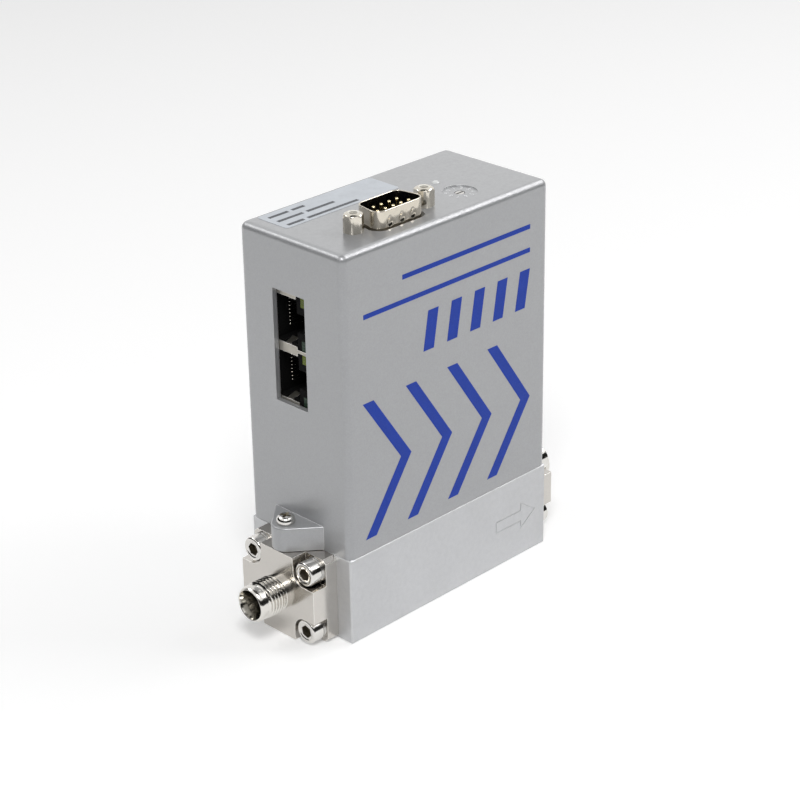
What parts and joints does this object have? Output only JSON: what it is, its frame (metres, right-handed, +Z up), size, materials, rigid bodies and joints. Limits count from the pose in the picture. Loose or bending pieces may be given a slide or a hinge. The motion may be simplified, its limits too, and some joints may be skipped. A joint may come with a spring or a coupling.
{
  "type": "mass flow controller",
  "caption": "Compact gas mass flow controller: machined base with flanged tube fittings, silver cover, blue chevrons, pin connector, network sockets and a rotary address switch.",
  "frame": {"origin": "centre of the base block's underside", "axes": "+X along the gas flow from inlet to outlet, the printed front faces -Y, +Z up towards the connector"},
  "size_m": [0.1126, 0.0373, 0.1134],
  "materials": {
    "block_aluminium": "bead blasted",
    "cover_paint": "fine grained silver paint",
    "fitting_steel": "machined, polished tube end",
    "screw_steel": "bright stainless",
    "washer_steel": "plain spring steel",
    "seal_rubber": "smooth",
    "print_blue": "printed ink",
    "label_film": "satin film",
    "shell_nickel": "nickel plated, drawn",
    "jack_nickel": "nickel plated",
    "insulator_black": "moulded",
    "contact_gold": "gold plated",
    "shield_steel": "tin plated sheet",
    "light_yellow": "clear tinted",
    "light_green": "clear tinted",
    "board_green": "solder mask",
    "chip_black": "moulded",
    "switch_white": "moulded",
    "light_pipe_clear": "polished",
    "bracket_steel": "zinc plated sheet",
    "element_steel": "ground",
    "magnetic_steel": "ground",
    "coil_tape": "wound tape",
    "cable_film": "flat film",
    "silicon": "polished",
    "spring_steel": "drawn wire"
  },
  "bodies": {
    "root": {"base_block": "block_aluminium", "inlet_fitting": "fitting_steel", "outlet_fitting": "fitting_steel", "port_seals": "seal_rubber", "flange_lock_washers": "washer_steel", "flange_screws": "screw_steel", "cover": "cover_paint", "cover_screws": "screw_steel", "front_chevrons": "print_blue", "front_bars": "print_blue", "blank_label": "label_film", "connector_shell": "shell_nickel", "connector_insulator": "insulator_black", "connector_pin_set": "contact_gold", "jackscrews": "jack_nickel", "connector_nuts": "jack_nickel", "socket_shield": "shield_steel", "upper_socket_insert": "insulator_black", "lower_socket_insert": "insulator_black", "upper_socket_contacts": "contact_gold", "lower_socket_contacts": "contact_gold", "yellow_socket_lights": "light_yellow", "green_socket_lights": "light_green", "connector_board": "board_green", "main_board": "board_green", "main_board_chips": "chip_black", "board_header": "insulator_black", "board_bracket": "bracket_steel", "board_screws": "screw_steel", "address_switch_body": "switch_white", "status_light": "switch_white", "status_light_pipe": "light_pipe_clear", "laminar_element": "element_steel", "sensor_gasket": "seal_rubber", "sensor_block": "element_steel", "sensor_chip": "silicon", "sensor_board": "board_green", "sensor_screws": "screw_steel", "sensor_cable": "cable_film", "valve_orifice": "element_steel", "plunger_spring": "spring_steel", "valve_sleeve": "magnetic_steel", "valve_coil": "coil_tape", "coil_leads": "seal_rubber", "valve_yoke": "magnetic_steel", "valve_nut": "screw_steel"},
    "switch_rotor": {"address_switch_rotor": "screw_steel"},
    "plunger": {"valve_plunger": "magnetic_steel", "valve_seat_disc": "seal_rubber"}
  },
  "joints": [
    {"name": "address_switch_turn", "type": "hinge", "parent": "root", "child": "switch_rotor", "pos_m": [0.01505, -0.0079, 0.107], "axis": [0, 0, 1], "continuous": true},
    {"name": "valve_lift", "type": "slide", "parent": "root", "child": "plunger", "axis": [0, 0, 1], "range_m": [0, 0.0005], "stiffness_N_per_m": 400, "springref_m": -0.005, "deforming": ["plunger_spring"]}
  ]
}
